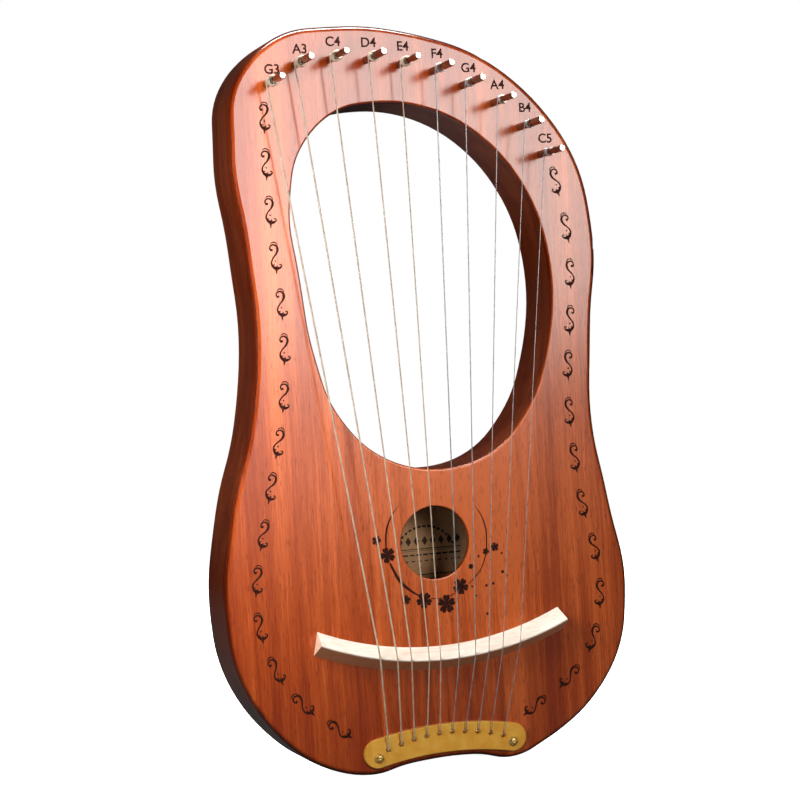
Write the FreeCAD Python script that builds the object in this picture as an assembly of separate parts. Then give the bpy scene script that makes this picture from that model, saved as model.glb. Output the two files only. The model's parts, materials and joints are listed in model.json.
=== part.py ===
"""A ten-string lyre, standing upright on the two lobes of its lower edge.

Drawing frame, in millimetres: X to the right from the sound hole's centre, Y into the
instrument from the front face, Z up from the feet. Finished parts are moved together, so
that the origin is the bottom centre of the instrument's bounding box.
"""
import FreeCAD, Part
import math
import os
from FreeCAD import Vector

os.makedirs("parts", exist_ok=True)

# ---------------------------------------------------------------- driving dimensions
DEPTH = 36.7            # front face to back face
BOARD = 4.0             # thickness of the soundboard and of the back board
RIM_WALL = 5.5          # thickness of the frame around the sound chamber
CHAMBER_TOP = 152.0     # height where the chamber ends and the solid arms begin
CHAMBER_CORNER = 8.0    # radius of the chamber's two upper corners
EDGE_ROUND = 3.0        # rounding of the outer edges, front and back
OPENING_ROUND = 1.2     # rounding of the opening's edges, front and back

HOLE_Z = 124.1          # height of the sound hole's centre
HOLE_R = 20.3
HOLE_ROUND = 0.6

# The body's outline, clockwise from the top of the yoke: (x, z).
OUTLINE = [(-34, 410), (5, 406), (42, 394.4), (75, 370.3), (99.5, 335), (108.3, 289),
           (103.3, 238), (101, 184), (108, 142), (116.2, 90), (109.5, 53), (90, 26),
           (64, 8.5), (41, 0), (16, 4), (-20, 3.6), (-45, 0), (-72, 7.6), (-99, 30),
           (-117, 62), (-121.9, 98), (-115.2, 148), (-101.5, 197), (-96, 243),
           (-99, 290), (-104.3, 342), (-99, 380), (-77.5, 402)]
# The opening under the yoke, clockwise from its top.
OPENING = [(-17, 367.8), (20, 361), (48, 342.6), (68, 315.6), (79.6, 268), (75.2, 230),
           (62, 196.5), (37, 171.8), (2, 164.8), (-32, 176.3), (-53, 200), (-64, 233.5),
           (-69, 272), (-72.3, 312), (-64, 343.6), (-43, 363)]

# Tuning pins: a round shank with four flats at the outer end for the tuning key.
PIN_R = 2.05
PIN_OUT = 29.5          # how far a pin stands out of the front face
PIN_IN = 20.0           # how far it goes in
PIN_FIT = 0.05          # radial clearance of a pin in its hole
PIN_FLATS = 3.3         # across the flats
PIN_FLATS_LENGTH = 13.0
PIN_CHAMFER = 0.5
PIN_TWIST = 37.0        # each pin's flats stand turned by this much from the last one's

# The bridge: a bar of triangular section, bent along an arc that is open upwards.
BRIDGE_R = 188.0        # radius of the ridge
BRIDGE_Z = 60.5         # height of the ridge at its lowest, in the middle
BRIDGE_WIDTH = 12.6     # width of the foot, across the bar
BRIDGE_HEIGHT = 10.0    # height of the ridge above the soundboard
RIDGE_ROUND = 0.8
BRIDGE_HALF = 72.9      # half the length, along the ridge
BRIDGE_END_TILT = 12.0  # degrees from upright of the two end cuts
NOTCH_FIT = 0.02        # how much wider a notch is than its string, all round

# The tail plate: a strip bent along an arc that is open downwards, with round ends.
PLATE_X = -1.2
PLATE_R = 193.0         # radius of the strip's middle line
PLATE_Z = 15.9          # height of the middle line at its highest
PLATE_HALF_WIDTH = 7.95
PLATE_HALF_SPAN = 40.3  # from the middle to the centre of a round end
PLATE_THICK = 2.0
PLATE_EDGE = 0.5
STRING_HOLE_R = 1.2
STRING_HOLE_CHAMFER = 0.4
STRING_HOLE_PITCH = 7.62
STRING_HOLE_RISE = 5.6  # how much higher the middle holes are than the end ones
STRING_HOLE_Z = 13.3    # height of the end holes

SCREW_SPAN = 39.9       # from the plate's middle to each screw
SCREW_Z = 9.4
SCREW_R = 1.4
SCREW_LENGTH = 16.0
SCREW_HEAD_R = 2.9
SCREW_HEAD_HEIGHT = 1.7
SCREW_CROSS = 0.95      # width of a slot of the cross
SCREW_CROSS_HALF = 2.1  # from the screw's axis to a slot's end
SCREW_CROSS_DEPTH = 1.3

# Each string's lower end: a brass barrel behind the plate, in a hole from the back.
ANCHOR_HOLE_R = 2.5
BARREL_R = 1.9
BARREL_LENGTH = 3.0
PLATE_BEND_R = 1.0      # bend of a string into its hole in the plate
PLATE_BEND_GAP = 0.35   # room between a bent string and the plate

RIDGE_BEND_R = 4.0      # bend of a string over the ridge
WRAP_ANGLE = 200.0      # last bit of string around its pin, in degrees
WRAP_GAP = 0.05         # room between that bit and the pin
TURN_GAP = 0.15         # room between that bit and the turns that ride on the pin
TURN_PITCH = 1.02       # pitch of the turns, in string diameters
TURN_VALLEY = 0.35      # depth left between turns, in string radii

TAIL_BLOCK_TOP = 42.0
TAIL_BLOCK_HALF = 60.0
BRACE_WIDTH = 6.0
BRACE_DEPTH = 9.0
BRACE_TAPER = 18.0      # length over which a brace's end thins out
BRACE_TIP = 2.5         # depth of a brace at its very end
BRACES = {"brace_upper": (96.0, 100.0), "brace_lower": (47.0, 92.0)}  # height, half length
LABEL_X, LABEL_W, LABEL_H, LABEL_THICK, LABEL_CORNER = 6.0, 64.0, 46.0, 0.3, 3.0

# One row per string: note, pin (x, z), string diameter, place on the ridge (x),
# height above the front face where the string leaves the pin, turns on the pin.
STRINGS = [
    ("g3", (-81.4, 378.2), 1.10, -40.0, 8.0, 5),
    ("a3", (-64.8, 388.5), 1.00, -30.0, 7.5, 5),
    ("c4", (-44.9, 391.4), 0.92, -21.9, 8.5, 5),
    ("d4", (-23.9, 391.0), 0.84, -11.6, 11.0, 4),
    ("e4", (-4.4, 388.7), 0.76, -4.9, 8.0, 6),
    ("f4", (14.9, 384.9), 0.62, 6.0, 10.5, 4),
    ("g4", (32.6, 377.0), 0.58, 15.9, 9.5, 5),
    ("a4", (50.3, 367.0), 0.52, 23.9, 12.0, 4),
    ("b4", (66.1, 353.4), 0.48, 32.4, 11.5, 5),
    ("c5", (77.5, 337.7), 0.44, 43.2, 10.5, 6),
]

BRIDGE_CENTRE_Z = BRIDGE_Z + BRIDGE_R
PLATE_CENTRE_Z = PLATE_Z - PLATE_R
ALONG_Y = Vector(0, 1, 0)


# ---------------------------------------------------------------- outlines
def in_plane(point, depth):
    """The complex number x + iz as a point at this depth."""
    return Vector(point.real, depth, point.imag)


def circle_tangent(before, here, after):
    """Unit tangent, at the middle point, of the circle through three points."""
    come, leave = here - before, after - here
    tangent = come / abs(come) ** 2 + leave / abs(leave) ** 2
    return tangent / abs(tangent)


def dot(a, b):
    return (a * b.conjugate()).real


def arc_join(start, start_tangent, end, end_tangent):
    """Point where two tangent arcs of a smooth pair meet."""
    chord, tangents = end - start, start_tangent + end_tangent
    a = 2 * (1 - dot(start_tangent, end_tangent))
    b = 2 * dot(chord, tangents)
    c = -dot(chord, chord)
    reach = -c / b if abs(a) < 1e-9 else (-b + math.sqrt(b * b - 4 * a * c)) / (2 * a)
    return (start + end + reach * (start_tangent - end_tangent)) / 2


def tangent_arc(start, tangent, end, depth):
    """Arc that leaves start along tangent and ends at end."""
    chord = end - start
    ratio = chord / tangent
    turn = math.atan2(ratio.imag, ratio.real)
    middle = start + chord / 2 - 1j * chord / 2 * math.tan(turn / 2)
    ends = [in_plane(p, depth) for p in (start, middle, end)]
    return Part.Arc(*ends).toShape()


def smooth_loop(points, depth):
    """Closed wire of tangent arcs through the points."""
    loop = [complex(*p) for p in points]
    count = len(loop)
    tangents = [circle_tangent(loop[i - 1], loop[i], loop[(i + 1) % count]) for i in range(count)]
    edges = []
    for i in range(count):
        j = (i + 1) % count
        join = arc_join(loop[i], tangents[i], loop[j], tangents[j])
        edges.append(tangent_arc(loop[i], tangents[i], join, depth))
        edges.append(tangent_arc(loop[j], -tangents[j], join, depth))
    return Part.Wire(Part.__sortEdges__(edges))


def prism(wire, thick):
    return Part.Face(wire).extrude(ALONG_Y * thick)


def outline_prism(depth, thick):
    return prism(smooth_loop(OUTLINE, depth), thick)


def opening_prism(depth, thick):
    return prism(smooth_loop(OPENING, depth), thick)


def hole(x, z, radius, depth, length):
    """A round rod along Y, from depth inwards."""
    return Part.makeCylinder(radius, length, Vector(x, depth, z), ALONG_Y)


def loop_edges(shape, depth, inside_box):
    """Edges that lie at this depth, on the loop inside (or outside) the opening's box."""
    box = smooth_loop(OPENING, 0).BoundBox
    box.enlarge(0.5)
    found = []
    for edge in shape.Edges:
        flat = abs(edge.BoundBox.YMin - depth) < 0.01 and abs(edge.BoundBox.YMax - depth) < 0.01
        middle = edge.BoundBox.Center
        inside = box.XMin < middle.x < box.XMax and box.ZMin < middle.z < box.ZMax
        if flat and inside == inside_box:
            found.append(edge)
    return found


def board(depth, face_depth):
    """A board of the body's outline with the opening, rounded at its outer face."""
    plate = outline_prism(depth, BOARD)
    plate = plate.makeFillet(EDGE_ROUND, loop_edges(plate, face_depth, False))
    plate = plate.cut(opening_prism(depth - 1, BOARD + 2))
    return plate.makeFillet(OPENING_ROUND, loop_edges(plate, face_depth, True))


# ---------------------------------------------------------------- places along the strings
def string_hole_place(index):
    """(x, z) of the plate's string hole."""
    from_middle = index - (len(STRINGS) - 1) / 2
    share = from_middle / ((len(STRINGS) - 1) / 2)
    return (PLATE_X + from_middle * STRING_HOLE_PITCH,
            STRING_HOLE_Z + STRING_HOLE_RISE * (1 - share ** 2))


def ridge_height_at(x):
    """Z of the ridge's arc above x."""
    return BRIDGE_CENTRE_Z - math.sqrt(BRIDGE_R ** 2 - x ** 2)


def screw_places():
    return [(PLATE_X + side * SCREW_SPAN, SCREW_Z) for side in (-1, 1)]


def rounded_path(corners, radii):
    """Edges of straight runs through the corners, joined by tangent arcs."""
    edges = []
    here = corners[0]
    for before, corner, after, radius in zip(corners, corners[1:], corners[2:], radii):
        back = (before - corner).normalize()
        on = (after - corner).normalize()
        half = back.getAngle(on) / 2
        reach = radius / math.tan(half)
        start, end = corner + back * reach, corner + on * reach
        inward = (back + on).normalize()
        middle = corner + inward * (radius / math.sin(half) - radius)
        edges.append(Part.LineSegment(here, start).toShape())
        edges.append(Part.Arc(start, middle, end).toShape())
        here = end
    edges.append(Part.LineSegment(here, corners[-1]).toShape())
    return edges


def string_path(index):
    """Wire along a string: around its pin, over the bridge and into the plate."""
    _, (pin_x, pin_z), diameter, ridge_x, height, _ = STRINGS[index]
    radius = diameter / 2
    ridge = Vector(ridge_x, -(BRIDGE_HEIGHT + radius), ridge_height_at(ridge_x))
    on_axis = Vector(pin_x, -height, pin_z)
    wrap_r = PIN_R + WRAP_GAP + radius
    left = Vector(-1, 0, 0)
    for _ in range(4):  # the side it leaves on and the way it runs depend on each other
        tangent_point = on_axis + left * wrap_r
        along = (ridge - tangent_point).normalize()
        left = ALONG_Y.cross(along).normalize()
        left = left if left.x < 0 else left * -1
    hole_x, hole_z = string_hole_place(index)
    over_hole = Vector(hole_x, -(PLATE_THICK + PLATE_BEND_GAP + radius), hole_z)
    anchor = Vector(hole_x, BARREL_R, hole_z)

    def around(angle):
        turned = math.radians(angle)
        return on_axis + (left * math.cos(turned) - along * math.sin(turned)) * wrap_r

    wrap = Part.Arc(around(WRAP_ANGLE), around(WRAP_ANGLE / 2), tangent_point).toShape()
    runs = rounded_path([tangent_point, ridge, over_hole, anchor], [RIDGE_BEND_R, PLATE_BEND_R])
    return Part.Wire([wrap] + runs)


def tube(wire, radius):
    """A round section of this radius swept along the wire."""
    start = wire.OrderedVertexes[0].Point
    first = wire.OrderedEdges[0]
    direction = first.tangentAt(first.FirstParameter)
    section = Part.Wire(Part.makeCircle(radius, start, direction))
    return wire.makePipeShell([section], True, True)


# ---------------------------------------------------------------- wooden body
def anchor_holes(depth, length):
    return [hole(*string_hole_place(i), ANCHOR_HOLE_R, depth, length) for i in range(len(STRINGS))]


def pin_holes(depth, length):
    return [hole(*row[1], PIN_R + PIN_FIT, depth, length) for row in STRINGS]


def screw_holes():
    return [hole(x, z, SCREW_R, -1, SCREW_LENGTH - PLATE_THICK + 1) for x, z in screw_places()]


def soundboard():
    front = board(0, 0)
    front = front.cut(hole(0, HOLE_Z, HOLE_R, -1, BOARD + 2))
    rim = [e for e in front.Edges if e.BoundBox.YMax < 0.01 and e.Curve.TypeId == "Part::GeomCircle"
           and abs(e.Curve.Radius - HOLE_R) < 0.01]
    front = front.makeFillet(HOLE_ROUND, rim)
    return front.cut(anchor_holes(-1, BOARD + 2) + pin_holes(-1, BOARD + 2) + screw_holes())


def back_board():
    return board(DEPTH - BOARD, DEPTH).cut(anchor_holes(DEPTH - BOARD - 1, BOARD + 2))


def chamber():
    """The hollow in the frame, with the space that the tail block fills."""
    inner = smooth_loop(OUTLINE, BOARD).makeOffset2D(-RIM_WALL)
    space = prism(inner, DEPTH - 2 * BOARD)
    low = Part.makeBox(400, DEPTH, CHAMBER_TOP, Vector(-200, 0, 0))
    space = space.common(low)
    corners = [e for e in space.Edges
               if abs(e.BoundBox.ZMin - CHAMBER_TOP) < 0.01 and e.BoundBox.YLength > 1]
    return space.makeFillet(CHAMBER_CORNER, corners)


def body_frame():
    frame = outline_prism(BOARD, DEPTH - 2 * BOARD)
    frame = frame.cut([opening_prism(BOARD - 1, DEPTH), chamber()])
    return frame.cut(pin_holes(0, PIN_IN))


def tail_block():
    low = Part.makeBox(2 * TAIL_BLOCK_HALF, DEPTH, TAIL_BLOCK_TOP, Vector(-TAIL_BLOCK_HALF, 0, 0))
    return chamber().common(low).cut(anchor_holes(0, DEPTH) + screw_holes())


def brace(height, half_length):
    """A bar glued across the soundboard's inside, thinned towards both ends."""
    inner, deep, tip = BOARD, BOARD + BRACE_DEPTH, BOARD + BRACE_TIP
    low = height - BRACE_WIDTH / 2
    flat = half_length - BRACE_TAPER
    side = [(-half_length, inner), (-half_length, tip), (-flat, deep), (flat, deep),
            (half_length, tip), (half_length, inner)]
    corners = [Vector(x, y, low) for x, y in side + side[:1]]
    return Part.Face(Part.makePolygon(corners)).extrude(Vector(0, 0, BRACE_WIDTH))


def paper_label():
    corner = Vector(LABEL_X - LABEL_W / 2, DEPTH - BOARD - LABEL_THICK, HOLE_Z - LABEL_H / 2)
    sheet = Part.makeBox(LABEL_W, LABEL_THICK, LABEL_H, corner)
    return sheet.makeFillet(LABEL_CORNER, [e for e in sheet.Edges if e.BoundBox.YLength > LABEL_THICK / 2])


# ---------------------------------------------------------------- fittings
def bridge():
    """The triangular bar, with a rounded ridge, notched for the strings."""
    half = BRIDGE_WIDTH / 2
    lean = math.atan2(half, BRIDGE_HEIGHT)
    apex = BRIDGE_HEIGHT + RIDGE_ROUND * (1 / math.sin(lean) - 1)
    lean = math.atan2(half, apex)
    reach = RIDGE_ROUND / math.tan(lean)
    shoulder_x, shoulder_y = reach * math.sin(lean), -(apex - reach * math.cos(lean))

    def across(offset, depth):
        return Vector(0, depth, BRIDGE_CENTRE_Z - BRIDGE_R + offset)

    crown = Part.Arc(across(-shoulder_x, shoulder_y), across(0, -BRIDGE_HEIGHT),
                     across(shoulder_x, shoulder_y)).toShape()
    sides = [Part.LineSegment(across(-half, 0), across(-shoulder_x, shoulder_y)).toShape(),
             crown,
             Part.LineSegment(across(shoulder_x, shoulder_y), across(half, 0)).toShape(),
             Part.LineSegment(across(half, 0), across(-half, 0)).toShape()]
    sweep = math.degrees(math.asin(BRIDGE_HALF / BRIDGE_R)) + 5
    profile = Part.Face(Part.Wire(sides))
    centre = Vector(0, 0, BRIDGE_CENTRE_Z)
    profile.rotate(centre, ALONG_Y, -sweep)
    bar = profile.revolve(centre, ALONG_Y, 2 * sweep)

    end_z = ridge_height_at(BRIDGE_HALF)
    slope = math.tan(math.radians(BRIDGE_END_TILT))
    low, high = BRIDGE_Z - 20, end_z + 20
    low_x = BRIDGE_HALF + (end_z - low) * slope
    high_x = BRIDGE_HALF - (high - end_z) * slope
    keep = [Vector(x, -20, z) for x, z in
            ((-low_x, low), (low_x, low), (high_x, high), (-high_x, high), (-low_x, low))]
    bar = bar.common(Part.Face(Part.makePolygon(keep)).extrude(ALONG_Y * 30))
    notches = [tube(string_path(i), row[2] / 2 + NOTCH_FIT) for i, row in enumerate(STRINGS)]
    return bar.cut(notches)


def tail_plate():
    """The curved strip with round ends, drilled for strings and screws."""
    reach = math.asin(PLATE_HALF_SPAN / PLATE_R)

    def at(radius, angle):
        return Vector(PLATE_X + radius * math.sin(angle), -PLATE_THICK,
                      PLATE_CENTRE_Z + radius * math.cos(angle))

    outer, inner = PLATE_R + PLATE_HALF_WIDTH, PLATE_R - PLATE_HALF_WIDTH
    cap = reach + PLATE_HALF_WIDTH / PLATE_R
    edges = [Part.Arc(at(outer, -reach), at(outer, 0), at(outer, reach)).toShape(),
             Part.Arc(at(outer, reach), at(PLATE_R, cap), at(inner, reach)).toShape(),
             Part.Arc(at(inner, reach), at(inner, 0), at(inner, -reach)).toShape(),
             Part.Arc(at(inner, -reach), at(PLATE_R, -cap), at(outer, -reach)).toShape()]
    plate = prism(Part.Wire(edges), PLATE_THICK)
    plate = plate.makeFillet(PLATE_EDGE, [e for e in plate.Edges if e.BoundBox.YMax < -PLATE_THICK / 2])
    cuts = [hole(x, z, SCREW_R + 0.2, -PLATE_THICK - 1, PLATE_THICK + 2) for x, z in screw_places()]
    for i in range(len(STRINGS)):
        x, z = string_hole_place(i)
        cuts.append(hole(x, z, STRING_HOLE_R, -PLATE_THICK - 1, PLATE_THICK + 2))
        cuts.append(Part.makeCone(STRING_HOLE_R + STRING_HOLE_CHAMFER, STRING_HOLE_R,
                                  STRING_HOLE_CHAMFER, Vector(x, -PLATE_THICK, z), ALONG_Y))
    return plate.cut(cuts)


def tail_screw(x, z):
    """A pan-head screw with a cross recess, its shank ending in a point."""
    top = PLATE_THICK + SCREW_HEAD_HEIGHT
    profile = [Vector(0, -top, 0), Vector(SCREW_HEAD_R, -PLATE_THICK, 0), Vector(SCREW_R, -PLATE_THICK, 0),
               Vector(SCREW_R, SCREW_LENGTH - PLATE_THICK - 3, 0), Vector(0, SCREW_LENGTH - PLATE_THICK, 0)]
    dome_side = Vector(SCREW_HEAD_R * 0.8, -top + SCREW_HEAD_HEIGHT * 0.3, 0)
    edges = [Part.Arc(profile[0], dome_side, profile[1]).toShape()]
    corners = profile[1:] + profile[:1]
    edges += [Part.LineSegment(a, b).toShape() for a, b in zip(corners, corners[1:])]
    screw = Part.Face(Part.Wire(edges)).revolve(Vector(0, 0, 0), ALONG_Y, 360)
    for half_x, half_z in ((SCREW_CROSS_HALF, SCREW_CROSS / 2), (SCREW_CROSS / 2, SCREW_CROSS_HALF)):
        corner = Vector(-half_x, -top, -half_z)
        screw = screw.cut(Part.makeBox(2 * half_x, SCREW_CROSS_DEPTH, 2 * half_z, corner))
    screw.rotate(Vector(0, 0, 0), ALONG_Y, 20)
    screw.translate(Vector(x, 0, z))
    return screw


def string(index):
    return tube(string_path(index), STRINGS[index][2] / 2)


def ball_end(index):
    """The brass barrel that a string ends in, stopping it behind the plate."""
    x, z = string_hole_place(index)
    barrel = Part.makeCylinder(BARREL_R, BARREL_LENGTH, Vector(x - BARREL_LENGTH / 2, BARREL_R, z),
                               Vector(1, 0, 0))
    return barrel.cut(string(index))


def winding_span(index):
    """Heights above the front face where a pin's turns start and end."""
    _, _, diameter, _, height, turns = STRINGS[index]
    start = height + diameter / 2 + TURN_GAP
    return start, start + turns * diameter * TURN_PITCH


def pin_winding(index):
    """The turns of string on a pin: a sleeve with one round ridge per turn."""
    _, (x, z), diameter, _, _, turns = STRINGS[index]
    start, _ = winding_span(index)
    pitch = diameter * TURN_PITCH
    valley = PIN_R + TURN_VALLEY * diameter / 2
    crest = PIN_R + diameter

    def at(radius, height):
        return Vector(x + radius, -height, z)

    edges = []
    for turn in range(turns):
        low = start + turn * pitch
        ridge = [at(valley, low), at(crest, low + pitch / 2), at(valley, low + pitch)]
        edges.append(Part.Arc(*ridge).toShape())
    end = start + turns * pitch
    for a, b in ((at(valley, end), at(PIN_R, end)), (at(PIN_R, end), at(PIN_R, start)),
                 (at(PIN_R, start), at(valley, start))):
        edges.append(Part.LineSegment(a, b).toShape())
    return Part.Face(Part.Wire(edges)).revolve(Vector(x, 0, z), ALONG_Y, 360)


def tuning_pin(index):
    """A steel pin: chamfered ends, four flats for the key, a cross hole for the string."""
    _, (x, z), diameter, _, _, _ = STRINGS[index]
    pin = Part.makeCylinder(PIN_R, PIN_OUT + PIN_IN, Vector(0, -PIN_OUT, 0), ALONG_Y)
    pin = pin.makeChamfer(PIN_CHAMFER, [e for e in pin.Edges if e.Curve.TypeId == "Part::GeomCircle"])
    for quarter in range(4):
        corner = Vector(-PIN_R, -PIN_OUT - 1, PIN_FLATS / 2)
        flat = Part.makeBox(2 * PIN_R, PIN_FLATS_LENGTH + 1, PIN_R, corner)
        flat.rotate(Vector(0, 0, 0), ALONG_Y, 90 * quarter)
        pin = pin.cut(flat)
    string_end = winding_span(index)[1] - diameter / 2
    eye_start = Vector(0, -string_end, -1.5 * PIN_R)
    eye = Part.makeCylinder(diameter / 2 + 0.1, 3 * PIN_R, eye_start, Vector(0, 0, 1))
    pin = pin.cut(eye)
    pin.rotate(Vector(0, 0, 0), ALONG_Y, PIN_TWIST * index)
    pin.translate(Vector(x, 0, z))
    return pin


# ---------------------------------------------------------------- the whole instrument
def build():
    """Every part by its node's name, with the origin at the bottom centre."""
    parts = {"soundboard": soundboard(), "back_board": back_board(), "body_frame": body_frame(),
             "tail_block": tail_block(), "paper_label": paper_label(), "bridge": bridge(),
             "tail_plate": tail_plate(),
             "tail_screws": Part.makeCompound([tail_screw(x, z) for x, z in screw_places()]),
             "ball_ends": Part.makeCompound([ball_end(i) for i in range(len(STRINGS))])}
    for name, (height, half_length) in BRACES.items():
        parts[name] = brace(height, half_length)
    for i, row in enumerate(STRINGS):
        parts["string_" + row[0]] = string(i)
        parts["tuning_pin_" + row[0]] = tuning_pin(i)
        parts["pin_winding_" + row[0]] = pin_winding(i)
    box = Part.makeCompound(list(parts.values())).optimalBoundingBox(False, False)
    to_origin = Vector(-box.Center.x, -box.Center.y, -box.ZMin)
    for shape in parts.values():
        shape.translate(to_origin)
    return parts, to_origin


parts, to_origin = build()
for name, shape in parts.items():
    shape.exportStep("parts/" + name + ".step")
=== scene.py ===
"""The looks of a ten-string lyre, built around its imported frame. Blender units are metres.

Lengths written in millimetres are turned into metres by MM. Places on the front face are given
in millimetres right of the sound hole's centre and up from the feet.
"""
import bmesh
import bpy
import json
import math
from mathutils import Matrix, Vector

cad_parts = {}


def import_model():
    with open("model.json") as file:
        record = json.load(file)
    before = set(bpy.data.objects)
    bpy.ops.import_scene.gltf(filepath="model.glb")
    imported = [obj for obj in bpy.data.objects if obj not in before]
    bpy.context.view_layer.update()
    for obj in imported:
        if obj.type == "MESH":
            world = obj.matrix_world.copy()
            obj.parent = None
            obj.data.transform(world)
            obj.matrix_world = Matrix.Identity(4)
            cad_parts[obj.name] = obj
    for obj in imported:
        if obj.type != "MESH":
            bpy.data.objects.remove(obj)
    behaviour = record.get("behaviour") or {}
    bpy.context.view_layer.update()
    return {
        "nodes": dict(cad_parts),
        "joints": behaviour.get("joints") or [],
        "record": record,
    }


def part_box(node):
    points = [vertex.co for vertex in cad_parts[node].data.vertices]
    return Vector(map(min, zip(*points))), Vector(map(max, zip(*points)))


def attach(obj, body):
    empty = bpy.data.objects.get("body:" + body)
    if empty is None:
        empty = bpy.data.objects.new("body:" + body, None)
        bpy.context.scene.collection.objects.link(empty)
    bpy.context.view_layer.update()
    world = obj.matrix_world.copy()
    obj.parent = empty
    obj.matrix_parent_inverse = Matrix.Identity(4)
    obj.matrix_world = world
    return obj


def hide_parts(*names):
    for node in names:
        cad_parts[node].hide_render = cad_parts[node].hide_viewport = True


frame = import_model()

MM = 0.001
RECORD = frame["record"]
OPENINGS = {opening["name"]: opening["box_m"] for opening in RECORD["physics"]["openings"]}
JOINTS = {joint["name"]: joint for joint in frame["joints"]}

# ---------------------------------------------------------------- the instrument's own axes
FACE_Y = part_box("soundboard")[0].y          # plane of the front face
HOLE_HEIGHT = 124.1 * MM                    # from the feet up to the sound hole's centre
hole_low, hole_high = [Vector(corner) for corner in OPENINGS["sound_hole"]]
HOLE_X = (hole_low.x + hole_high.x) / 2
FEET_Z = (hole_low.z + hole_high.z) / 2 - HOLE_HEIGHT


def at(x, z, out=0.0):
    """Millimetres right of the sound hole, up from the feet and out from the face, to metres."""
    return Vector((HOLE_X + x * MM, FACE_Y - out * MM, FEET_Z + z * MM))


# ---------------------------------------------------------------- strings and pins
PIN_R = 2.05
WRAP_GAP = 0.05         # between a pin and the fixed end of its string
WRAP_ANGLE = 200.0      # how far that end goes round the pin, in degrees
WRAP_STEPS = 20
TURN_GAP = 0.15         # between that end and the turns that ride on the pin
TURN_PITCH = 1.02       # pitch of the turns, in string diameters
TURN_STEPS = 24
EYE_REACHES = (0.98, 0.4, -0.9, -1.35)  # points through the cross hole, in pin radii from the axis
PIN_TWIST = 37.0        # each pin stands turned by this much from the last
RIDGE_HEIGHT = 10.0     # of the bridge's ridge above the face
RIDGE_R = 188.0         # of the arc that the ridge follows
RIDGE_LOW = 60.5        # lowest point of that arc, from the feet
RIDGE_BEND_R = 4.0      # of a string's bend over the ridge
PLATE_TOP = 2.0         # of the tail plate, above the face
PLATE_BEND_R = 1.0      # of a string's bend into its hole
PLATE_BEND_GAP = 0.35   # between that bend and the plate
PLATE_MIDDLE = -1.2     # middle of the row of holes (x)
HOLE_PITCH = 7.62
HOLE_RISE = 5.6         # how much higher the row's middle is than its ends
HOLE_END_Z = 13.3       # height of the row's ends

# One row per string: note, diameter, place on the ridge (x), height above the face where it
# leaves its pin, turns on the pin, and where the note's name is marked (x, z).
STRINGS = [
    ("g3", 1.10, -40.0, 8.0, 5, (-78, 386)),
    ("a3", 1.00, -30.0, 7.5, 5, (-61.5, 397)),
    ("c4", 0.92, -21.9, 8.5, 5, (-42.5, 401)),
    ("d4", 0.84, -11.6, 11.0, 4, (-22, 400.5)),
    ("e4", 0.76, -4.9, 8.0, 6, (-2, 398.5)),
    ("f4", 0.62, 6.0, 10.5, 4, (18, 394.5)),
    ("g4", 0.58, 15.9, 9.5, 5, (36.5, 386.5)),
    ("a4", 0.52, 23.9, 12.0, 4, (53.5, 377)),
    ("b4", 0.48, 32.4, 11.5, 5, (69.5, 364)),
    ("c5", 0.44, 43.2, 10.5, 6, (81, 346.5)),
]
WOUND = 5               # the first five strings are wound with wire
WIRE_PITCH = 0.5        # of the wound strings' wrap wire
WIRE_DEPTH = 0.12       # depth of the grooves between its turns
WIRE_SIDES = 8          # of a string's or a coil's tube


# ---------------------------------------------------------------- mesh helpers
def mesh_object(name, mesh, material, body="root"):
    """A mesh as a piece that rides on a body."""
    piece = bpy.data.objects.new(name, mesh)
    bpy.context.scene.collection.objects.link(piece)
    piece.data.materials.clear()
    piece.data.materials.append(material)
    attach(piece, body)
    return piece


def finish_mesh(bm, name, smooth=True):
    bmesh.ops.recalc_face_normals(bm, faces=bm.faces)
    mesh = bpy.data.meshes.new(name)
    bm.to_mesh(mesh)
    bm.free()
    mesh.shade_smooth() if smooth else mesh.shade_flat()
    return mesh


def curve_through(points, steps):
    """Points along a smooth curve through these points (Catmull-Rom)."""
    padded = [points[0] * 2 - points[1]] + list(points) + [points[-1] * 2 - points[-2]]
    smooth = []
    for p0, p1, p2, p3 in zip(padded, padded[1:], padded[2:], padded[3:]):
        for step in range(steps):
            t = step / steps
            smooth.append(0.5 * (2 * p1 + (p2 - p0) * t + (2 * p0 - 5 * p1 + 4 * p2 - p3) * t ** 2
                                 + (3 * p1 - p0 - 3 * p2 + p3) * t ** 3))
    smooth.append(points[-1].copy())
    return smooth


def add_tube(bm, path, radius_at, sides):
    """A closed tube along a path. radius_at(length so far, angle) gives its radius."""
    rings = []
    length = 0.0
    normal = None
    for i, point in enumerate(path):
        ahead, behind = path[min(i + 1, len(path) - 1)], path[max(i - 1, 0)]
        tangent = (ahead - behind).normalized()
        if normal is None:
            normal = tangent.orthogonal()
        normal = (normal - tangent * normal.dot(tangent)).normalized()
        across = tangent.cross(normal)
        if i:
            length += (point - path[i - 1]).length
        ring = []
        for side in range(sides):
            angle = 2 * math.pi * side / sides
            offset = normal * math.cos(angle) + across * math.sin(angle)
            ring.append(bm.verts.new(point + offset * radius_at(length, angle)))
        rings.append(ring)
    for low, high in zip(rings, rings[1:]):
        for side in range(sides):
            bm.faces.new((low[side], low[(side + 1) % sides], high[(side + 1) % sides], high[side]))
    bm.faces.new(reversed(rings[0]))
    bm.faces.new(rings[-1])


def spread(path, step):
    """The path's points, with more between them so that none are further apart than step."""
    dense = [path[0]]
    for a, b in zip(path, path[1:]):
        pieces = max(1, math.ceil((b - a).length / step))
        dense += [a.lerp(b, (k + 1) / pieces) for k in range(pieces)]
    return dense


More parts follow.
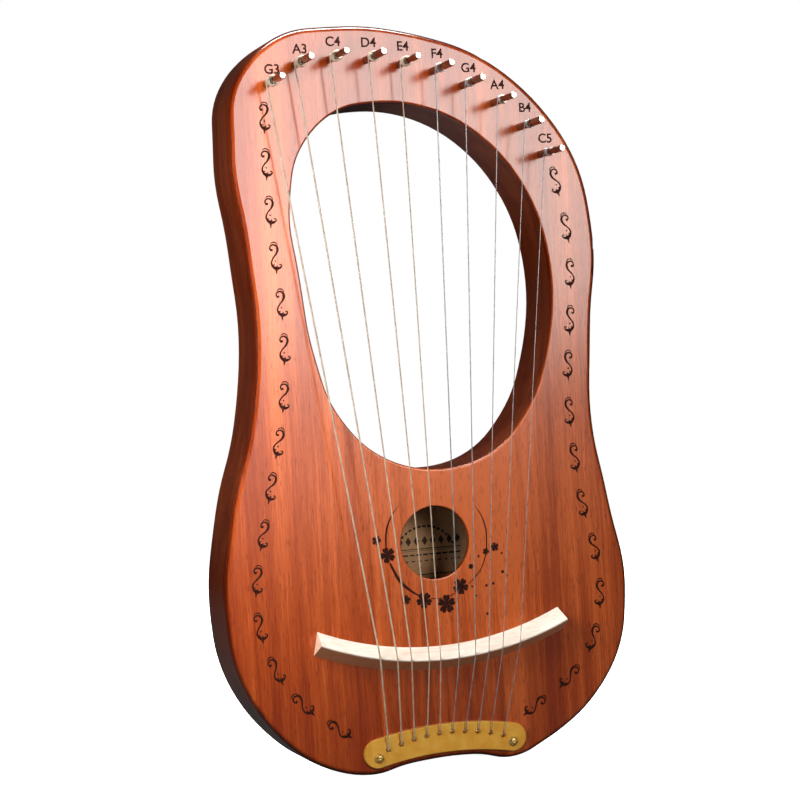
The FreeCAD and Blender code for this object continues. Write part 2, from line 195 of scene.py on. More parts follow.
# ---------------------------------------------------------------- shader helper
class Shader:
    """A material whose nodes are added one by one. An input is a number, colour or output."""

    def __init__(self, name):
        self.material = bpy.data.materials.new(name)
        self.material.use_nodes = True
        self.tree = self.material.node_tree
        self.surface = self.tree.nodes["Principled BSDF"]
        self.place = self.add("ShaderNodeTexCoord").outputs["Object"]

    def add(self, kind, inputs=None, **settings):
        node = self.tree.nodes.new(kind)
        for key, value in settings.items():
            setattr(node, key, value)
        for key, value in (inputs or {}).items():
            self.put(node.inputs[key], value)
        return node

    def put(self, socket, value):
        if isinstance(value, bpy.types.NodeSocket):
            self.tree.links.new(value, socket)
        else:
            socket.default_value = value

    def set(self, **values):
        """Sets the surface's inputs, written with underscores for spaces."""
        for key, value in values.items():
            self.put(self.surface.inputs[key.replace("_", " ")], value)

    def math(self, operation, a, b):
        return self.add("ShaderNodeMath", {0: a, 1: b}, operation=operation).outputs[0]

    def stretched(self, scale):
        """Object coordinates, scaled along each axis. A scale of 1000 is one cell of noise per mm."""
        return self.add("ShaderNodeMapping", {"Vector": self.place, "Scale": scale}).outputs[0]

    def noise(self, vector, detail=3.0, roughness=0.5, distortion=0.0):
        inputs = {"Vector": vector, "Scale": 1.0, "Detail": detail, "Roughness": roughness,
                  "Distortion": distortion}
        return self.add("ShaderNodeTexNoise", inputs).outputs["Fac"]

    def ramp(self, factor, *stops):
        """A colour ramp through (position, colour) stops. Colours are linear RGB."""
        node = self.add("ShaderNodeValToRGB", {"Fac": factor})
        stop_list = node.color_ramp.elements
        while len(stop_list) < len(stops):
            stop_list.new(0.5)
        for element, (position, colour) in zip(stop_list, stops):
            element.position = position
            element.color = (*colour, 1)
        return node.outputs["Color"]

    def between(self, factor, low, high, to_low=0.0, to_high=1.0):
        return self.add("ShaderNodeMapRange", {"Value": factor, "From Min": low, "From Max": high,
                                               "To Min": to_low, "To Max": to_high}).outputs[0]

    def mix(self, factor, a, b, blend="MIX"):
        node = self.add("ShaderNodeMix", data_type="RGBA", blend_type=blend)
        self.put(node.inputs[0], factor)
        for socket, value in ((node.inputs[6], a), (node.inputs[7], b)):
            self.put(socket, (*value, 1) if isinstance(value, tuple) else value)
        return node.outputs[2]

    def bump(self, height, strength, distance):
        return self.add("ShaderNodeBump", {"Height": height, "Strength": strength,
                                           "Distance": distance}).outputs[0]


# ---------------------------------------------------------------- materials
# The face's lighter patch round the sound hole is a painted pool of light, with painted shade at its
# fringe, and the face's dark rim is painted shade. Both follow the photo's brightness.
LIGHT_POOL_MIDDLE = (8.0, 160.0)     # (x, z) from the frame's origin
LIGHT_POOL_REACH = (150.0, 240.0)    # across and up, where the painted pool of light fades out
LIGHT_POOL_TONE = (-0.065, 0.21)     # added to the wood's tone where the pool fades out (painted shade), and at its middle (painted light)
EDGE_SHADE_DEPTH = (0.04, 0.6)       # behind the face's plane, where the painted shade on the rim starts and is full
EDGE_SHADE = (0.24, 0.21, 0.28)      # what the full painted shade leaves of the wood's colour
TOP_AND_FRONT = (0, -0.8, 0.6)  # the way that the bridge's lit sides face; its other sides get painted shade


def mahogany(name, deep, body, light, pore, gloss, coat, face=False):
    """Satin lacquered mahogany with upright stripes, fine fibres and short faint pores.

    On the face, a pool of light is painted round the sound hole with painted shade at its fringe, and
    painted shade darkens the wood past the face's rounded edges.
    """
    s = Shader(name)
    ribbons = s.noise(s.stretched((34, 34, 1.8)), detail=4, roughness=0.5, distortion=0.3)
    stripes = s.noise(s.stretched((210, 210, 3.2)), detail=3, distortion=0.2)
    fibres = s.noise(s.stretched((1300, 1300, 45)), detail=4, roughness=0.65)
    tone = s.math("ADD", s.math("MULTIPLY", ribbons, 0.50), s.math("MULTIPLY", stripes, 0.28))
    tone = s.math("ADD", tone, s.math("MULTIPLY", fibres, 0.22))
    if face:
        # Painted light: a lighter pool round the sound hole, with painted shade towards its fringe.
        (middle_x, middle_z), (reach_x, reach_z) = LIGHT_POOL_MIDDLE, LIGHT_POOL_REACH
        centred = s.add("ShaderNodeMapping", {
            "Vector": s.place, "Location": (-middle_x / reach_x, 0, -middle_z / reach_z),
            "Scale": (1 / (reach_x * MM), 0, 1 / (reach_z * MM))}).outputs[0]
        patch = s.add("ShaderNodeTexGradient", {"Vector": centred}, gradient_type="QUADRATIC_SPHERE")
        tone = s.math("ADD", tone, s.between(patch.outputs["Fac"], 0, 1, *LIGHT_POOL_TONE))
    colour = s.ramp(tone, (0.39, deep), (0.5, body), (0.61, light))
    specks = s.noise(s.stretched((1600, 1600, 180)), detail=1)
    pores = s.between(specks, 0.60, 0.70)
    colour = s.mix(s.math("MULTIPLY", pores, 0.5), colour, pore)
    if face:
        # Painted shade: the wood past the face's rounded edges is darkened.
        depth = s.add("ShaderNodeSeparateXYZ", {"Vector": s.place}).outputs["Y"]
        edge_shade_mask = s.between(depth, *[FACE_Y + behind * MM for behind in EDGE_SHADE_DEPTH])
        colour = s.mix(edge_shade_mask, colour, s.mix(1.0, colour, EDGE_SHADE, "MULTIPLY"))
    roughness = s.between(fibres, 0.3, 0.7, gloss - 0.03, gloss + 0.05)
    height = s.math("SUBTRACT", s.math("MULTIPLY", fibres, 0.6), pores)
    s.set(Base_Color=colour, Roughness=roughness, Normal=s.bump(height, 0.22, 0.00004),
          Coat_Weight=coat, Coat_Roughness=gloss)
    return s.material


def plain_wood(name, deep, body, light, gloss, under=None):
    """Bare, even wood with fine lines along the X axis.

    under, when given, multiplies the colour of the surfaces that face back, down or sideways: painted
    shade, tinted like light thrown back by the mahogany below.
    """
    s = Shader(name)
    lines = s.noise(s.stretched((25, 700, 700)), detail=4, roughness=0.6)
    clouds = s.noise(s.stretched((30, 60, 60)), detail=2)
    tone = s.math("ADD", s.math("MULTIPLY", lines, 0.7), s.math("MULTIPLY", clouds, 0.3))
    flecks = s.between(s.noise(s.stretched((260, 1500, 1500)), detail=1), 0.64, 0.74)
    colour = s.ramp(tone, (0.35, deep), (0.5, body), (0.65, light))
    colour = s.mix(s.math("MULTIPLY", flecks, 0.35), colour, deep)
    # Painted shade on the sides that face back, down or sideways.
    if under:
        normal = s.add("ShaderNodeTexCoord").outputs["Normal"]
        facing = s.add("ShaderNodeVectorMath", {0: normal, 1: TOP_AND_FRONT}, operation="DOT_PRODUCT")
        painted_shade_mask = s.between(facing.outputs["Value"], 0.35, -0.1)
        colour = s.mix(painted_shade_mask, colour, s.mix(1.0, colour, under, "MULTIPLY"))
    s.set(Base_Color=colour, Roughness=s.between(lines, 0.3, 0.7, gloss - 0.05, gloss + 0.08),
          Normal=s.bump(lines, 0.2, 0.00005))
    return s.material


def brushed_brass():
    """Yellow brass with fine scratches along its length and slightly dulled patches."""
    s = Shader("brass_satin")
    scratches = s.noise(s.stretched((160, 2200, 2200)), detail=3, roughness=0.6)
    patches = s.noise(s.stretched((150, 150, 150)), detail=4)
    tone = s.math("ADD", s.math("MULTIPLY", scratches, 0.25), s.math("MULTIPLY", patches, 0.75))
    colour = s.ramp(tone, (0.36, (0.92, 0.44, 0.05)), (0.52, (1.0, 0.54, 0.075)),
                    (0.68, (1.0, 0.64, 0.12)))
    s.set(Base_Color=colour, Metallic=0.6, Roughness=s.between(tone, 0.35, 0.65, 0.44, 0.52),
          Normal=s.bump(scratches, 0.05, 0.00002))
    return s.material


def polished_metal(name, dark, bright, gloss, metallic=1.0):
    """Bright metal with faint smudges and hair scratches."""
    s = Shader(name)
    smudges = s.noise(s.stretched((220, 220, 220)), detail=3)
    scratches = s.noise(s.stretched((3000, 300, 3000)), detail=3)
    colour = s.ramp(smudges, (0.35, dark), (0.6, bright))
    s.set(Base_Color=colour, Metallic=metallic,
          Roughness=s.between(smudges, 0.3, 0.7, gloss - 0.03, gloss + 0.06),
          Normal=s.bump(scratches, 0.05, 0.00002))
    return s.material


def paper():
    s = Shader("label_paper")
    fibres = s.noise(s.stretched((1200, 1200, 1200)), detail=5)
    stains = s.noise(s.stretched((40, 40, 40)), detail=3)
    tone = s.math("ADD", s.math("MULTIPLY", fibres, 0.4), s.math("MULTIPLY", stains, 0.6))
    colour = s.ramp(tone, (0.35, (0.74, 0.42, 0.20)), (0.65, (0.95, 0.58, 0.29)))
    s.set(Base_Color=colour, Roughness=0.9, Normal=s.bump(fibres, 0.2, 0.00005))
    return s.material


def printed_ink():
    s = Shader("printed_ink")
    wear = s.noise(s.stretched((900, 900, 900)), detail=4)
    colour = s.ramp(wear, (0.35, (0.035, 0.022, 0.016)), (0.65, (0.16, 0.10, 0.065)))
    s.set(Base_Color=colour, Roughness=0.9)
    return s.material


def scorched():
    """Wood burnt nearly black by an engraver."""
    s = Shader("engraving")
    char = s.noise(s.stretched((1500, 1500, 700)), detail=4)
    colour = s.ramp(char, (0.3, (0.014, 0.005, 0.004)), (0.7, (0.060, 0.016, 0.009)))
    s.set(Base_Color=colour, Roughness=0.8, Specular_IOR_Level=0.12, Normal=s.bump(char, 0.3, 0.00006))
    return s.material


FACE_WOOD = mahogany("face_mahogany", (0.27, 0.028, 0.001), (0.45, 0.069, 0.006), (0.72, 0.145, 0.026),
                     (0.16, 0.016, 0.002), 0.19, 1.0, True)
# The sides and back are partly a darker wood and partly painted shade, so they stay far darker than the
# face under any lamp.
BODY_WOOD = mahogany("side_mahogany", (0.050, 0.007, 0.002), (0.085, 0.013, 0.003), (0.13, 0.024, 0.006),
                     (0.028, 0.004, 0.002), 0.30, 0.45)
INNER_WOOD = plain_wood("inner_wood", (0.20, 0.10, 0.045), (0.30, 0.16, 0.075), (0.40, 0.23, 0.11), 0.7)
# The bridge's last colour is painted shade on its underside and ends, warm like light thrown back by the
# face.
MAPLE = plain_wood("bridge_maple", (0.76, 0.62, 0.48), (0.86, 0.76, 0.64), (0.90, 0.83, 0.73), 0.5,
                   (0.82, 0.42, 0.24))
BRASS = brushed_brass()
SCREW_BRASS = polished_metal("screw_brass", (0.86, 0.52, 0.12), (1.0, 0.74, 0.26), 0.33, 0.7)
PIN_STEEL = polished_metal("pin_nickel", (0.29, 0.26, 0.22), (0.44, 0.40, 0.35), 0.17, 0.96)
WOUND_WIRE = polished_metal("wound_wire", (0.72, 0.58, 0.42), (0.92, 0.80, 0.62), 0.30, 0.65)
PLAIN_WIRE = polished_metal("plain_wire", (0.50, 0.49, 0.48), (0.74, 0.73, 0.72), 0.28, 0.75)
PAPER = paper()
INK = printed_ink()
SCORCHED = scorched()

CAD_MATERIALS = {"soundboard": FACE_WOOD, "body_frame": BODY_WOOD, "back_board": BODY_WOOD,
                 "tail_block": INNER_WOOD, "brace_upper": INNER_WOOD, "brace_lower": INNER_WOOD,
                 "bridge": MAPLE, "tail_plate": BRASS, "tail_screws": SCREW_BRASS,
                 "ball_ends": SCREW_BRASS, "paper_label": PAPER}
for number, row in enumerate(STRINGS):
    CAD_MATERIALS["tuning_pin_" + row[0]] = PIN_STEEL
    if number >= WOUND:
        CAD_MATERIALS["string_" + row[0]] = PLAIN_WIRE
for node, material in CAD_MATERIALS.items():
    node_mesh = frame["nodes"][node].data
    node_mesh.materials.clear()
    node_mesh.materials.append(material)


# ---------------------------------------------------------------- strings
def plate_hole(index):
    """(x, z) of the tail plate's hole for a string."""
    middle = (len(STRINGS) - 1) / 2
    share = (index - middle) / middle
    return (PLATE_MIDDLE + (index - middle) * HOLE_PITCH, HOLE_END_Z + HOLE_RISE * (1 - share ** 2))


def pin_place(index, height):
    """A point on a pin's axis, this high above the face."""
    axis = Vector(JOINTS["tune_" + STRINGS[index][0]]["pos_m"])
    return Vector((axis.x, FACE_Y - height * MM, axis.z))


def bend(before, corner, after, radius, steps=8):
    """Points on the arc that rounds off a corner."""
    back, on = (before - corner).normalized(), (after - corner).normalized()
    half = back.angle(on) / 2
    centre = corner + (back + on).normalized() * (radius / math.sin(half))
    first = corner + back * (radius / math.tan(half)) - centre
    last = corner + on * (radius / math.tan(half)) - centre
    turn = first.angle(last)
    aside = (last - last.project(first)).normalized() * radius
    angles = [turn * step / steps for step in range(steps + 1)]
    return [centre + first * math.cos(angle) + aside * math.sin(angle) for angle in angles]


def string_path(index):
    """Points along a string, from its end round the pin down to its hole in the plate."""
    _, diameter, ridge_x, height, _, _ = STRINGS[index]
    radius = diameter / 2
    ridge_z = RIDGE_LOW + RIDGE_R - math.sqrt(RIDGE_R ** 2 - ridge_x ** 2)
    ridge = at(ridge_x, ridge_z, RIDGE_HEIGHT + radius)
    axis = pin_place(index, height)
    wrap_r = (PIN_R + WRAP_GAP + radius) * MM
    left = Vector((-1, 0, 0))
    for _ in range(4):  # the side it leaves on and the way it runs depend on each other
        along = (ridge - axis - left * wrap_r).normalized()
        left = Vector((along.z, 0, -along.x)).normalized()
        left = left if left.x < 0 else -left
    wrap = []
    for step in range(WRAP_STEPS + 1):
        angle = math.radians(WRAP_ANGLE) * (1 - step / WRAP_STEPS)
        wrap.append(axis + (left * math.cos(angle) - along * math.sin(angle)) * wrap_r)
    hole_x, hole_z = plate_hole(index)
    over = at(hole_x, hole_z, PLATE_TOP + PLATE_BEND_GAP + radius)
    inside = at(hole_x, hole_z, 0)
    return (wrap + bend(wrap[-1], ridge, over, RIDGE_BEND_R * MM)
            + bend(ridge, over, inside, PLATE_BEND_R * MM) + [inside])


def wound_string(index):
    """A string wrapped in wire: a tube whose skin rises and falls along a helix."""
    name, diameter = STRINGS[index][:2]
    outer = diameter / 2 * MM

    def radius_at(length, angle):
        phase = math.pi * length / (WIRE_PITCH * MM) - angle / 2
        return outer - WIRE_DEPTH * MM * (1 - abs(math.sin(phase)))

    bm = bmesh.new()
    add_tube(bm, spread(string_path(index), WIRE_PITCH * MM / 4), radius_at, WIRE_SIDES)
    mesh = finish_mesh(bm, "wound_string_" + name)
    piece = mesh_object("wound_string_" + name, mesh, WOUND_WIRE)
    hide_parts("string_" + name)


def coil(index):
    """The turns of string on a pin, the last of them ending through the pin's cross hole."""
    name, diameter, _, height, turns, _ = STRINGS[index]
    radius = diameter / 2
    pitch = diameter * TURN_PITCH
    low = height + radius + TURN_GAP
    high = low + turns * pitch
    first_height, last_height = low + radius, high - radius
    eye_angle = math.radians(90 + PIN_TWIST * index)
    sweep = 2 * math.pi * (last_height - first_height) / pitch
    steps = turns * TURN_STEPS
    path = []
    for step in range(steps + 1):
        share = step / steps
        angle = eye_angle - sweep * (1 - share)
        centre = pin_place(index, first_height + (last_height - first_height) * share)
        out = Vector((-math.cos(angle), 0, math.sin(angle)))
        path.append(centre + out * (PIN_R + radius) * MM)
    centre = pin_place(index, last_height)
    through = Vector((-math.cos(eye_angle), 0, math.sin(eye_angle)))
    path += [centre + through * (PIN_R * reach) * MM for reach in EYE_REACHES]
    bm = bmesh.new()
    add_tube(bm, path, lambda length, angle: radius * MM, WIRE_SIDES)
    wire, slot = (WOUND_WIRE, "wound_string") if index < WOUND else (PLAIN_WIRE, "plain_string")
    piece = mesh_object("coil_" + name, finish_mesh(bm, "coil_" + name), wire, "pin_" + name)
    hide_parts("pin_winding_" + name)


for number in range(len(STRINGS)):
    coil(number)
    if number < WOUND:
        wound_string(number)


# ---------------------------------------------------------------- engravings on the face
INK_OUT = 0.03          # how far the burnt marks stand out of the face, so that they are seen
INK_STEP = 0.008        # how much further each mark stands out than the one that it crosses
INK_IN = 0.05           # and how far they go in
STROKE_STEPS = 6        # points along a stroke from each of its points to the next
THINNEST = 0.08         # a stroke's least width


def add_patch(bm, outline, layer=0):
    """A thin solid of this outline, given as (x, z) in millimetres on the face."""
    front = [bm.verts.new(at(x, z, INK_OUT + layer * INK_STEP)) for x, z in outline]
    back = [bm.verts.new(at(x, z, -INK_IN)) for x, z in outline]
    bm.faces.new(front)
    bm.faces.new(reversed(back))
    for i in range(len(outline)):
        j = (i + 1) % len(outline)
        bm.faces.new((front[i], back[i], back[j], front[j]))


def add_stroke(bm, points, widths, layer=0):
    """A brush stroke: a thin solid of varying width along a smooth line."""
    top = INK_OUT + layer * INK_STEP
    line = curve_through([Vector(p) for p in points], STROKE_STEPS)
    sizes = curve_through([Vector((w, 0)) for w in widths],
                          STROKE_STEPS * (len(points) - 1) // (len(widths) - 1))
    left, right = [], []
    for i, point in enumerate(line):
        tangent = (line[min(i + 1, len(line) - 1)] - line[max(i - 1, 0)]).normalized()
        side = Vector((-tangent.y, tangent.x)) * max(sizes[min(i, len(sizes) - 1)].x, THINNEST) / 2
        left.append(point + side)
        right.append(point - side)
    strips = []
    for a, b in zip(left, right):
        strips.append([bm.verts.new(at(p.x, p.y, out)) for p in (a, b) for out in (top, -INK_IN)])
    for one, two in zip(strips, strips[1:]):
        a_front, a_back, b_front, b_back = one
        c_front, c_back, d_front, d_back = two
        for face in ((a_front, b_front, d_front, c_front), (a_back, c_back, d_back, b_back),
                     (a_front, c_front, c_back, a_back), (b_front, b_back, d_back, d_front)):
            bm.faces.new(face)
    for a_front, a_back, b_front, b_back in (strips[0], strips[-1]):
        bm.faces.new((a_front, a_back, b_back, b_front))


def add_dot(bm, x, z, radius, layer=0, sides=14):
    angles = [2 * math.pi * k / sides for k in range(sides)]
    outline = [(x + radius * math.cos(angle), z + radius * math.sin(angle)) for angle in angles]
    add_patch(bm, outline, layer)


def add_flower(bm, x, z, radius, turn, petals=5):
    """A flower of notched petals, from a polar formula: its reach is least between two petals."""
    outline = []
    steps = petals * 20
    for k in range(steps):
        angle = 2 * math.pi * k / steps
        from_petal = (angle * petals / (2 * math.pi) + 0.5) % 1 - 0.5
        lobe = 0.30 + 0.70 * abs(math.cos(math.pi * from_petal)) ** 0.40
        notch = 1 - 0.17 * math.exp(-(from_petal / 0.10) ** 2)
        reach = radius * lobe * notch
        outline.append((x + reach * math.cos(angle + turn), z + reach * math.sin(angle + turn)))
    add_patch(bm, outline, 1)


def flower_ring():
    """The broken ring round the lower side of the sound hole, with flowers and dots."""
    bm = bmesh.new()
    add_stroke(bm, [(-20.5, 146), (-25.5, 140), (-28.6, 132), (-29.2, 124)], [0.25, 0.75, 1.0, 0.8])
    add_stroke(bm, [(-27.5, 115), (-22.5, 105), (-16.5, 99), (-10, 94.5)], [1.2, 1.75, 1.3, 0.5])
    add_stroke(bm, [(-5, 93.4), (0, 93), (6, 93.6), (11, 95.5)], [0.45, 0.45, 0.45, 0.45])
    add_stroke(bm, [(24.5, 143), (28.3, 137), (30.4, 130), (30.6, 122), (29.3, 114), (25.5, 106),
                    (18.5, 99.5)], [0.2, 0.6, 0.75, 0.75, 0.65, 0.55, 0.45])
    flowers = [(-34.5, 128, 2.9), (-28.5, 119.5, 4.8), (-19.3, 94, 2.8), (-8.7, 92.8, 4.9),
               (4.5, 89.5, 5.6), (13.5, 98.5, 4.9), (35.3, 118.7, 2.7), (29.8, 116.6, 2.1)]
    for k, (x, z, radius) in enumerate(flowers):
        add_flower(bm, x, z, radius, 0.7 * k)
    dots = [(20.3, 109, 1.4), (25.3, 114.3, 0.7), (34.5, 138.3, 0.65), (39.3, 114.8, 0.65),
            (39.2, 104.4, 0.9), (41.5, 102, 0.8), (33.2, 98.3, 0.8), (29, 97.6, 0.8), (20.5, 97.8, 0.6),
            (22.5, 92.5, 0.6), (28.5, 81.8, 0.8)]
    for dot in dots:
        add_dot(bm, *dot)
    mesh_object("flower_ring", finish_mesh(bm, "flower_ring", False), SCORCHED)


# The scroll ornament, drawn upright about its middle: strokes as (points, widths).
SCROLL_STROKES = [
    ([(-0.6, 4.7), (-1.6, 4.3), (-2.2, 5.5), (-1.4, 6.8), (0.3, 7.1), (1.8, 6.0), (2.0, 4.1), (0.9, 2.0),
      (-0.8, 0.3), (-2.0, -1.5), (-2.3, -3.0), (-1.6, -4.6), (-0.2, -5.6), (1.4, -5.7), (2.7, -5.2),
      (3.2, -4.3), (2.5, -3.7), (1.9, -4.2)],
     [1.2, 1.1, 0.8, 0.85, 0.9, 1.25, 1.35, 1.0, 0.8, 0.85, 1.0, 1.35, 1.9, 1.5, 0.9, 0.7, 0.6, 0.4]),
    ([(-1.7, 7.5), (-0.6, 8.4), (0.8, 8.4), (1.9, 7.6), (2.3, 6.6)], [0.3, 0.6, 0.65, 0.5, 0.25]),
    ([(-0.2, -5.4), (-0.1, -7.1), (-0.3, -8.6)], [1.7, 1.0, 0.35]),
    ([(-0.1, -5.2), (0.5, -4.6), (0.8, -3.9)], [1.1, 0.7, 0.2]),
    ([(-1.9, -3.6), (-1.1, -3.7), (-0.6, -3.2)], [0.9, 0.6, 0.2]),
]
SCROLL_DOT = (0.0, -1.7, 0.45)
LEFT_SCROLLS, RIGHT_SCROLLS = 15, 13
BORDER_STEPS = 40       # points along a border from each of its points to the next


def add_scroll(bm, centre, along, mirror):
    """One scroll at a place on the face, its top towards along."""
    up = along.normalized()
    right = Vector((up.y, -up.x)) * (-1 if mirror else 1)

    def placed(point):
        return centre + right * point[0] + up * point[1]

    for layer, (points, widths) in enumerate(SCROLL_STROKES):
        add_stroke(bm, [placed(p) for p in points], widths, layer)
    dot = placed(SCROLL_DOT)
    add_dot(bm, dot.x, dot.y, SCROLL_DOT[2], len(SCROLL_STROKES))


def scrolls():
    """Two borders of scrolls, evenly spaced along lines inside the left and right edges."""
    left = [(-84, 360), (-84.5, 335), (-83.5, 297), (-80.5, 250), (-83, 205), (-93, 160), (-103.5, 112),
            (-103, 84), (-93.5, 58), (-79, 40), (-62, 27)]
    right = [(86, 322), (91.5, 290), (91, 255), (87, 215), (86.5, 185), (90.5, 142), (97.5, 110),
             (98.5, 84), (91, 58), (75, 40), (54, 27)]
    bm = bmesh.new()
    for points, count, mirror in ((left, LEFT_SCROLLS, False), (right, RIGHT_SCROLLS, True)):
        line = curve_through([Vector(p) for p in points], BORDER_STEPS)
        lengths = [0.0]
        for a, b in zip(line, line[1:]):
            lengths.append(lengths[-1] + (b - a).length)
        for k in range(count):
            target = lengths[-1] * k / (count - 1)
            i = min(range(len(lengths)), key=lambda n: abs(lengths[n] - target))
            ahead, behind = line[min(i + 4, len(line) - 1)], line[max(i - 4, 0)]
            add_scroll(bm, line[i], behind - ahead, mirror)
    mesh_object("scroll_borders", finish_mesh(bm, "scroll_borders", False), SCORCHED)


NAME_SIZE = 7.3         # letter size that gives capitals 5 mm high
NAME_BOLD = 0.13        # how far the letters' outlines are pushed out


def note_names():
    """The ten note names, marked by the pins."""
    bm = bmesh.new()
    for name, _, _, _, _, (x, z) in STRINGS:
        text = bpy.data.curves.new("note_" + name, "FONT")
        text.body = name.upper()
        text.size = NAME_SIZE * MM
        text.align_x = "CENTER"
        text.align_y = "CENTER"
        text.extrude = (INK_OUT + INK_IN) / 2 * MM
        text.offset = NAME_BOLD * MM
        letters = bpy.data.objects.new("note_" + name, text)
        bpy.context.scene.collection.objects.link(letters)
        letters.matrix_world = (Matrix.Translation(at(x, z, (INK_OUT - INK_IN) / 2))
                                @ Matrix.Rotation(math.radians(90), 4, "X"))
        bpy.context.view_layer.update()
        evaluated = letters.evaluated_get(bpy.context.evaluated_depsgraph_get())
        solid = bpy.data.meshes.new_from_object(evaluated)
        solid.transform(letters.matrix_world)
        bm.from_mesh(solid)
        bpy.data.objects.remove(letters)
    mesh_object("note_names", finish_mesh(bm, "note_names", False), SCORCHED)


LABEL_MIDDLE_X = 6.0    # middle of the paper label, and its size
LABEL_SIZE = (64.0, 46.0)
LABEL_DEPTH = 32.4      # from the front face to the paper
PRINT_THICK = 0.04      # of the ink's solids, on each side of that depth
PRINT_MARGIN = 2.5      # from the label's edge to the middle of the frame's line
PRINT_LINE = 0.25       # half the width of that line
ARCH_R = 19.0           # of the arch of leaves, and how far below the label's middle it is centred
ARCH_DROP = 12.0


def label_print():
    """A plain printed pattern on the label: a frame, an arch of leaves, lozenges and rules."""
    bm = bmesh.new()
    middle_z = HOLE_HEIGHT / MM

    def shape(outline):
        front, back = [[bm.verts.new(at(LABEL_MIDDLE_X + x, middle_z + z, depth - LABEL_DEPTH))
                        for x, z in outline] for depth in (PRINT_THICK, -PRINT_THICK)]
        bm.faces.new(front)
        bm.faces.new(reversed(back))
        for i in range(len(outline)):
            j = (i + 1) % len(outline)
            bm.faces.new((front[i], back[i], back[j], front[j]))

    def bar(x0, z0, x1, z1):
        shape([(x0, z0), (x1, z0), (x1, z1), (x0, z1)])

    half_x, half_z = LABEL_SIZE[0] / 2 - PRINT_MARGIN, LABEL_SIZE[1] / 2 - PRINT_MARGIN
    for side in (-1, 1):
        bar(-half_x, side * half_z - PRINT_LINE, half_x, side * half_z + PRINT_LINE)
        bar(side * half_x - PRINT_LINE, -half_z, side * half_x + PRINT_LINE, half_z)
    for k in range(-4, 5):
        shape([(5 * k - 1.7, -1.3), (5 * k, -4.0), (5 * k + 1.7, -1.3), (5 * k, 1.4)])
    for z, thick in ((-6.0, 0.45), (-6.9, 0.2)):
        bar(-22, z, 22, z + thick)
    for k in range(-5, 6):
        bar(4 * k - 1.5, -9.6, 4 * k + 1.5, -8.7)
        bar(4 * k - 0.6, -13.0, 4 * k + 1.4, -12.3)
    for k in range(-7, 8):
        angle = math.radians(9 * k)
        along = Vector((math.cos(angle), -math.sin(angle)))
        out = Vector((math.sin(angle), math.cos(angle)))
        x, z = ARCH_R * out.x, ARCH_R * out.y - ARCH_DROP
        tips = [along * 1.5, out * 0.8, along * -1.1, out * -0.8]
        shape([(x + tip.x, z + tip.y) for tip in tips])
    mesh_object("label_print", finish_mesh(bm, "label_print", False), INK)


flower_ring()
scrolls()
note_names()
label_print()


# ---------------------------------------------------------------- floor, lights and camera
FLOOR_GAP = 0.2         # under the feet
FLOOR_SIZE = 200.0      # in metres
SKY_STRENGTH = 0.02     # of the light that the sky throws. The camera sees it white.

# One row per lamp: name, place, target, size, watts, whether it is seen in reflections, colour.
# Places and sizes are in metres. The strengths were tuned to the photo's colours.
WHITE = (1, 1, 1)
TARGET = (0, 0, 0.2)
LAMPS = [
    ("softbox", (0.80, -2.05, 0.67), (0, 0, 0.25), (0.85, 0.80), 15.0, True, (1, 0.92, 0.87)),
    ("low_softbox", (0.48, -2.05, 0.15), TARGET, (0.40, 0.30), 0.45, True, WHITE),
    ("left_key", (-0.26, -0.13, 0.29), TARGET, (0.15, 0.15), 1.25, False, WHITE),
    ("low_key", (-0.24, -0.14, 0.13), TARGET, (0.16, 0.16), 0.18, False, WHITE),
    ("top_strip", (0, -0.06, 0.66), TARGET, (0.3, 0.06), 2.2, True, WHITE),
    ("back", (0.5, 0.9, 0.8), TARGET, (0.6, 0.6), 24, False, WHITE),
]

# The camera's place and directions come from the photo's perspective.
CAMERA_PLACE = (-399.9, 217.2, 1032.7)  # right of the sound hole, up from the feet, out from the face
CAMERA_AHEAD = (0.34838, 0.93723, -0.01434)
CAMERA_RIGHT = (0.93536, -0.34860, -0.05970)
CAMERA_LENS = 90.1
CAMERA_SENSOR = 36
CAMERA_SHIFT = 0.0061


def floor_shader():
    """Pale paper. It looks near white, and throws only a little light back on the lyre."""
    s = Shader("floor_paper")
    nodes = s.tree.nodes
    seen = s.add("ShaderNodeAddShader")
    glow = s.add("ShaderNodeEmission", {"Color": (1, 1, 1, 1), "Strength": 1.0})
    pale = s.add("ShaderNodeBsdfDiffuse", {"Color": (0.9, 0.9, 0.9, 1)})
    dim = s.add("ShaderNodeBsdfDiffuse", {"Color": (0.05, 0.05, 0.05, 1)})
    s.put(seen.inputs[0], glow.outputs[0])
    s.put(seen.inputs[1], pale.outputs[0])
    mix = s.add("ShaderNodeMixShader", {0: s.add("ShaderNodeLightPath").outputs["Is Camera Ray"],
                                        1: dim.outputs[0], 2: seen.outputs[0]})
    nodes.remove(s.surface)
    s.put(nodes["Material Output"].inputs["Surface"], mix.outputs[0])
    return s.material


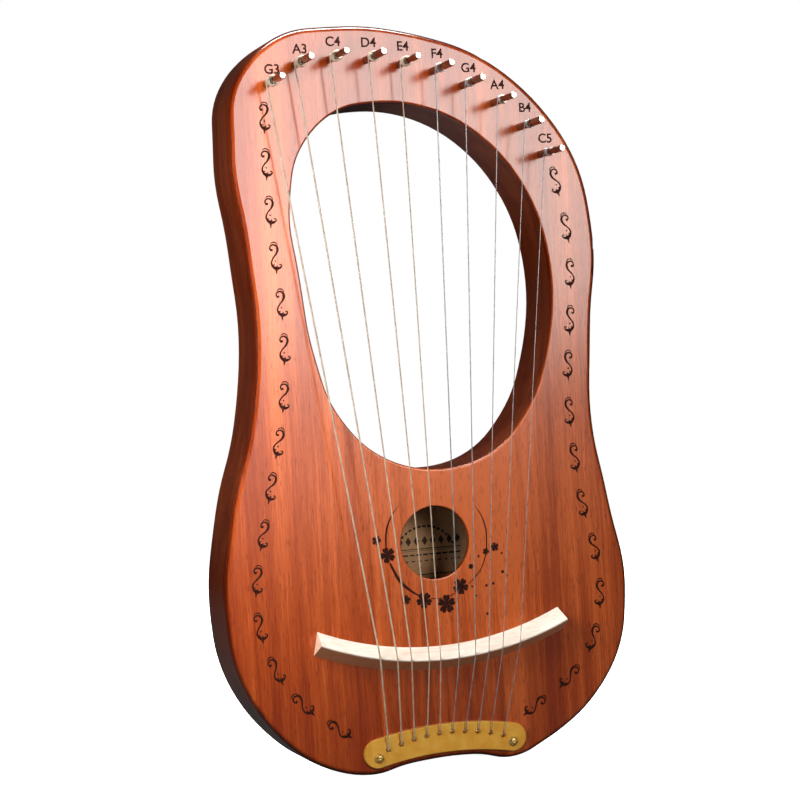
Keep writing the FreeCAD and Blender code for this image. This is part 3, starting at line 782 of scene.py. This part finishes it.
def floor():
    bpy.ops.mesh.primitive_plane_add(size=FLOOR_SIZE, location=(0, 0, -FLOOR_GAP * MM))
    plane = bpy.context.object
    plane.name = "floor"
    plane.data.materials.append(floor_shader())


def area_light(name, place, target, size, watts, glossy, colour):
    data = bpy.data.lights.new(name, "AREA")
    data.shape = "RECTANGLE"
    data.size, data.size_y = size
    data.energy = watts
    data.color = colour
    light = bpy.data.objects.new(name, data)
    light.location = place
    light.rotation_euler = (Vector(target) - Vector(place)).to_track_quat("-Z", "Y").to_euler()
    bpy.context.scene.collection.objects.link(light)
    light.visible_camera = False
    light.visible_glossy = glossy


def world():
    sky = bpy.data.worlds.new("studio")
    sky.use_nodes = True
    nodes, links = sky.node_tree.nodes, sky.node_tree.links
    background = nodes["Background"]
    seen = nodes.new("ShaderNodeBackground")
    seen.inputs["Strength"].default_value = 1.0
    seen.inputs["Color"].default_value = (1, 1, 1, 1)
    background.inputs["Color"].default_value = (1, 1, 1, 1)
    background.inputs["Strength"].default_value = SKY_STRENGTH
    mix, path = nodes.new("ShaderNodeMixShader"), nodes.new("ShaderNodeLightPath")
    links.new(path.outputs["Is Camera Ray"], mix.inputs[0])
    links.new(background.outputs[0], mix.inputs[1])
    links.new(seen.outputs[0], mix.inputs[2])
    links.new(mix.outputs[0], nodes["World Output"].inputs["Surface"])
    bpy.context.scene.world = sky


def camera():
    """The camera: 1.1 m away, left of the front, held slightly turned about its own axis."""
    data = bpy.data.cameras.new("camera")
    data.sensor_width = CAMERA_SENSOR
    data.lens = CAMERA_LENS
    data.shift_y = CAMERA_SHIFT
    eye = bpy.data.objects.new("camera", data)
    ahead = Vector(CAMERA_AHEAD).normalized()
    right = Vector(CAMERA_RIGHT)
    right = (right - ahead * right.dot(ahead)).normalized()
    up = right.cross(ahead)
    turn = Matrix((right, up, -ahead)).transposed().to_4x4()
    eye.matrix_world = Matrix.Translation(at(*CAMERA_PLACE)) @ turn
    bpy.context.scene.collection.objects.link(eye)
    bpy.context.scene.camera = eye


floor()
world()
for lamp in LAMPS:
    area_light(*lamp)
camera()
bpy.context.scene.view_settings.view_transform = "Standard"
